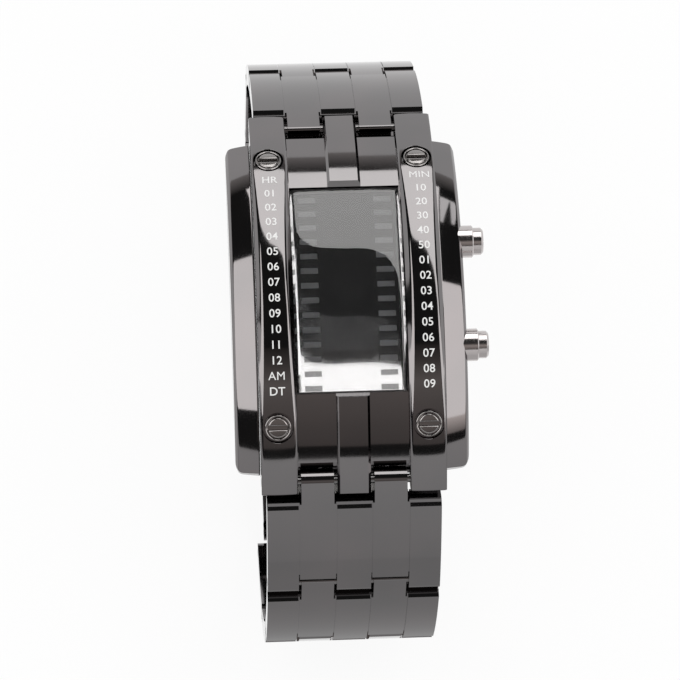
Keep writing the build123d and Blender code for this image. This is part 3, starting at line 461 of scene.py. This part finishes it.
def make_plate(side, name):
    drop = plate_drop(side)
    width = plate_outer - plate_inner
    stations = []
    for offset in (0, 0.05, 0.1, 0.15, 0.2, 0.28, 0.4, 0.7, 1.1, 1.5, 1.9, 2.3, 2.6, 2.75, 2.85,
                   2.93, 3.0, 3.08, 3.16, 3.24, 3.3, width):
        x = side * (plate_inner + offset)
        radius = plate_arc - drop(x, 0)
        corner = max(0, 1 - (width - offset) / plate_corner)
        half = plate_half - plate_corner * (1 - sqrt(1 - corner * corner))
        full = rounded_arc(asin(half / plate_arc), plate_arc, plate_end_round, 5, 130)
        run = [((radius - fall) * sin(turn), arc_mid + (radius - fall) * cos(turn))
               for turn, fall in full]
        end_y = run[0][0]
        run += [(-end_y, plate_floor + plate_floor_chamfer),
                (-end_y + plate_floor_chamfer, plate_floor),
                (end_y - plate_floor_chamfer, plate_floor),
                (end_y, plate_floor + plate_floor_chamfer)]
        stations.append((x, run))
    plate = loft_across("visual_" + name, stations)
    if side > 0:
        cut(plate, [lathe([(button_bore, -20), (button_bore, 20)],
                          Vector((0, y, apex_z / mm - button_depth)), Vector((1, 0, 0)), 64)
                    for y in (button_y, -button_y)])
    shade(plate, arc_surface(plate_arc, drop))
    return finish_piece(plate, "case", gunmetal, "gunmetal_plating", name)


mark_size, mark_weight, mark_thickness = 1.6, 0.014, 0.012
row_tightening = 0.009


def make_marks(name, side, x, first, pitch, labels):
    """Generic number marks, a thin layer that follows the rail's face, row by row downwards."""
    drop = rail_drop(side)
    parts = []
    for row, label in enumerate(labels):
        text = bpy.data.curves.new(name, "FONT")
        text.body = label
        text.align_x = "CENTER"
        text.align_y = "CENTER"
        text.size = mark_size
        text.offset = 0 if "M" in label else mark_weight
        text.space_character = 1.04
        text.resolution_u = 4
        text.extrude = mark_thickness
        holder = bpy.data.objects.new(name, text)
        bpy.context.scene.collection.objects.link(holder)
        graph = bpy.context.evaluated_depsgraph_get()
        flat = bpy.data.meshes.new_from_object(holder.evaluated_get(graph))
        bpy.data.objects.remove(holder)
        points = []
        for vertex in flat.vertices:
            across = x + vertex.co.x
            along = first - pitch * row + row_tightening * row * row + vertex.co.y
            turn = along / case_arc
            radius = case_arc - drop(across, turn) + mark_thickness + vertex.co.z
            points.append(Vector((across, radius * sin(turn), arc_mid + radius * cos(turn))))
        parts.append((points, [tuple(face.vertices) for face in flat.polygons]))
    marks = make_mesh(name, *joined(parts))
    return finish_piece(marks, "case", mark_paint, "light_box_white")


crystal_half_width, crystal_half_length = 7.6, 14.65
crystal_arc = case_arc - 1.4


def crystal_drop(x, turn):
    """The crystal is almost flat across and rolls over at its two long edges."""
    from_edge = crystal_half_width - abs(x)
    return soft_max((5e-5 * x**4, 0.14 + 0.55 * (0.45 - from_edge),
                     0.25 + 1.6 * (0.25 - from_edge)), 0.03)


def make_crystal():
    """The curved crystal, flat below, with rolled long edges."""
    half, steps = crystal_half_length, 100
    edge_thickness = 1.0
    floor_z = arc_mid + sqrt(crystal_arc**2 - half * half) - edge_thickness
    stop = asin(half / crystal_arc)
    offsets = [0, 0.03, 0.08, 0.14, 0.2, 0.26, 0.32, 0.4, 0.48, 0.56, 0.64, 0.72, 0.8, 0.9, 1.1,
               1.6, 2.6, 4.0, 5.8]
    places = [offset - crystal_half_width for offset in offsets]
    stations = []
    for x in places + [-x for x in places[::-1]]:
        run = []
        for k in range(steps + 1):
            turn = stop - 2 * stop * k / steps
            radius = crystal_arc - crystal_drop(x, turn)
            run.append((radius * sin(turn), arc_mid + radius * cos(turn)))
        stations.append((x, run + [(-half, floor_z), (half, floor_z)]))
    crystal = loft_across("visual_crystal", stations)
    shade(crystal, arc_surface(crystal_arc, crystal_drop))
    return finish_piece(crystal, "case", glass, "mineral_glass", "crystal")


def make_spring(button):
    """A button's return spring, a coil of wire as long as the spring's part."""
    low, high = [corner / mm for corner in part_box(button + "_spring")]
    wire = 0.2
    coil = (high.y - low.y) / 2 - wire
    steps, around, turns = 120, 10, 5
    middle = (low + high) / 2
    points = []
    for k in range(steps + 1):
        turn = 2 * pi * turns * k / steps
        out = Vector((0, cos(turn), sin(turn)))
        x = low.x + wire + (high.x - low.x - 2 * wire) * k / steps
        spine = Vector((x, middle.y, middle.z)) + out * coil
        for i in range(around):
            lean = 2 * pi * i / around
            points.append(spine + out * (wire * cos(lean)) + Vector((wire * sin(lean), 0, 0)))
    spring = make_mesh("visual_" + button + "_spring", points, tube_faces(around, steps + 1))
    face_outwards(spring.data)
    shade(spring, limit=40.0)
    finish_piece(spring, "case", satin, slot_of[button + "_spring"], button + "_spring")
    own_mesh(spring)


make_rail(-1, "left_rail")
make_rail(1, "right_rail")
make_screws()
make_crystal()
make_plate(-1, "left_side_plate")
make_plate(1, "right_side_plate")
make_spring("upper_button")
make_spring("lower_button")
numbers = ["%02d" % n for n in range(1, 13)]
make_marks("left_marks", -1, -10.3, 16.1, 2.34, ["HR"] + numbers + ["AM", "DT"])
make_marks("right_marks", 1, 10.48, 16.45, 2.33,
           ["MIN", "10", "20", "30", "40", "50"] + numbers[:9])


# Studio: a white world, a pale floor, and cards that only the reflections see
world = bpy.data.worlds.new("studio")
bpy.context.scene.world = world
world.use_nodes = True
background = world.node_tree.nodes["Background"]
background.inputs["Color"].default_value = (1, 1, 1, 1)
background.inputs["Strength"].default_value = 1.0

# The cards: what they stand around, their distances from it in metres, strengths and colours
centre = Vector((0, 0, apex_z - 10 * mm))
card_distance, canopy_distance, fade_distance, low_distance = 1.25, 1.4, 1.3, 1.35
canopy_level, softbox_level, finger_level, side_level, front_level = 0.03, 2.8, 2.0, 2.5, 0.6
white = (1, 1, 1)
warm_white = (1, 0.98, 0.97)
brown = (1, 0.9, 0.86)


def direction(along, across):
    """From the watch: along is the angle from +Z towards +Y, across is the angle towards +X."""
    a, b = radians(along), radians(across)
    return Vector((sin(b), cos(b) * sin(a), cos(b) * cos(a)))


def glow(made, name, colour, strength=None):
    """Make an object a card that shines, seen in reflections alone."""
    shine = bpy.data.materials.new(name)
    shine.use_nodes = True
    tree = shine.node_tree
    tree.nodes.clear()
    emission = node(tree, "ShaderNodeEmission")
    emission.inputs["Color"].default_value = (*colour, 1)
    if strength is None:
        level = node(tree, "ShaderNodeAttribute", attribute_name="level")
        link(tree, level, "Fac", emission, "Strength")
    else:
        emission.inputs["Strength"].default_value = strength
    link(tree, emission, 0, node(tree, "ShaderNodeOutputMaterial"), "Surface")
    made.data.materials.append(shine)
    made.visible_camera = False
    made.visible_diffuse = False
    made.visible_shadow = False
    made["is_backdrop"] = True


def card(name, corners, colour, strength, distance=card_distance, steps=10):
    """A reflection card on a sphere, between four corners, each an angle along and one across.

    A strength of two numbers goes from the first pair of corners to the second.
    """
    bm = bmesh.new()
    rows = []
    for i in range(steps + 1):
        row = []
        for k in range(steps + 1):
            u, v = i / steps, k / steps
            along, across = [(1 - u) * ((1 - v) * a + v * b) + u * ((1 - v) * d + v * c)
                             for a, b, c, d in zip(*corners)]
            row.append(bm.verts.new(centre + direction(along, across) * distance))
        rows.append(row)
    for i in range(steps):
        for k in range(steps):
            bm.faces.new((rows[i][k], rows[i][k + 1], rows[i + 1][k + 1], rows[i + 1][k]))
    mesh = bpy.data.meshes.new(name)
    bm.to_mesh(mesh)
    bm.free()
    made = bpy.data.objects.new(name, mesh)
    bpy.context.scene.collection.objects.link(made)
    levels = mesh.attributes.new("level", "FLOAT", "POINT")
    low_level, high_level = strength if isinstance(strength, tuple) else (strength, strength)
    for vertex in range(len(mesh.vertices)):
        u = vertex // (steps + 1) / steps
        levels.data[vertex].value = (1 - u) * low_level + u * high_level
    glow(made, name, colour)


def band(low, high, left, right):
    return (low, left), (low, right), (high, right), (high, left)


card("dark_canopy", band(-50, 74, -80, 80), white, canopy_level, canopy_distance, 32)
lower_edge = [(66, -14), (52, -11), (44, -7), (36, -3), (32.5, 0), (31, 4), (28, 7), (22, 10),
              (12, 14), (8, 20)]
softbox_top = 66
for k in range(len(lower_edge) - 1):
    (low_a, left), (low_b, right) = lower_edge[k], lower_edge[k + 1]
    card("top_softbox_%d" % k,
         ((low_a, left), (low_b, right), (softbox_top, right), (softbox_top, left)),
         (1, 0.99, 0.98), softbox_level)
card("finger_0", ((48, 21), (48, 22.5), (61, 25.5), (61, 20.5)), white, finger_level)
card("finger_1", ((49, 27), (49, 28.5), (61, 31), (61, 25.5)), white, finger_level)
brown_levels = [(-46, 0.2), (-38, 0.24), (-30, 0.3), (-22, 0.38), (-19, 0.3), (-14, 0.16),
                (-8, 0.06)]
for k in range(len(brown_levels) - 1):
    (low, low_level), (high, high_level) = brown_levels[k], brown_levels[k + 1]
    card("brown_card_%d" % k, band(low, high, -11, 17), brown, (low_level, high_level))
card("canopy_fade", band(66, 74, -40, 40), (1, 0.95, 0.93), (0.04, 0.5), fade_distance)
card("low_card", band(-92, -50, -80, 80), white, (0.64, 0.8), low_distance, 24)
card("left_softbox", band(-33, 33, -95, -13), warm_white, side_level, steps=24)
card("right_softbox", band(-39, 20, 20.5, 95), warm_white, side_level, steps=24)
card("right_fade", band(-46, -39, 20.5, 95), (1, 0.92, 0.88), (0.5, 1.6), steps=24)

# A card low over the floor in front of the watch, in millimetres
front_left, front_right, front_far, front_near, front_height = -2000, 2000, -2500, -47, 0.5
front_corners = [(front_left, front_far, front_height), (front_right, front_far, front_height),
                 (front_right, front_near, front_height), (front_left, front_near, front_height)]
front = make_mesh("front_card", front_corners, [(0, 1, 2, 3)])
glow(front, "front_card", white, front_level)

# The floor: white to the camera, to metal and to glass, with a share of its own shading,
# which keeps the watch's shadow
floor_size = 6
shown_white = 0.88
bpy.ops.mesh.primitive_plane_add(size=floor_size, location=(0, 0, 0))
floor = bpy.context.object
floor.name = "floor"
paper, tree, shader = material("floor_paper", (0.95, 0.95, 0.95), 0.0, 0.6)
add_bump(tree, shader, noise(tree, 300.0), "Fac", 0.00002)
ray = node(tree, "ShaderNodeLightPath")
emission = node(tree, "ShaderNodeEmission")
emission.inputs["Strength"].default_value = 1.0
mix = node(tree, "ShaderNodeMixShader")
output = tree.nodes["Material Output"]
seen = node(tree, "ShaderNodeMath", operation="MAXIMUM")
link(tree, ray, "Is Camera Ray", seen, 0)
link(tree, ray, "Is Glossy Ray", seen, 1)
seen_too = node(tree, "ShaderNodeMath", operation="MAXIMUM")
link(tree, seen, 0, seen_too, 0)
link(tree, ray, "Is Transmission Ray", seen_too, 1)
share = node(tree, "ShaderNodeMath", operation="MULTIPLY")
share.inputs[1].default_value = shown_white
link(tree, seen_too, 0, share, 0)
link(tree, share, 0, mix, 0)
link(tree, shader, "BSDF", mix, 1)
link(tree, emission, 0, mix, 2)
link(tree, mix, 0, output, "Surface")
floor.data.materials.append(paper)
floor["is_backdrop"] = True

# Camera, fitted to the photograph, with the focal length in its pixels
focal = 3667.33
image_width = 680
sensor_width = 36
yaw, tilt, roll = radians(3.0), radians(-15.68), radians(2.42)
view = (Matrix.Rotation(roll, 3, "Z") @ Matrix.Rotation(tilt, 3, "X")
        @ Matrix.Rotation(yaw, 3, "Y"))
apex_in_view = Vector((1.28, 7.99, -499.97)) * mm
camera_data = bpy.data.cameras.new("camera")
camera = bpy.data.objects.new("camera", camera_data)
bpy.context.scene.collection.objects.link(camera)
camera_data.sensor_width = sensor_width
camera_data.lens = sensor_width * focal / image_width
camera_data.clip_start = 0.01
camera_data.clip_end = 20
camera.matrix_world = view.transposed().to_4x4()
camera.location = view.transposed() @ -apex_in_view + Vector((0, 0, apex_z))
bpy.context.scene.camera = camera

bpy.context.scene.view_settings.view_transform = "Standard"

low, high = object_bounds()
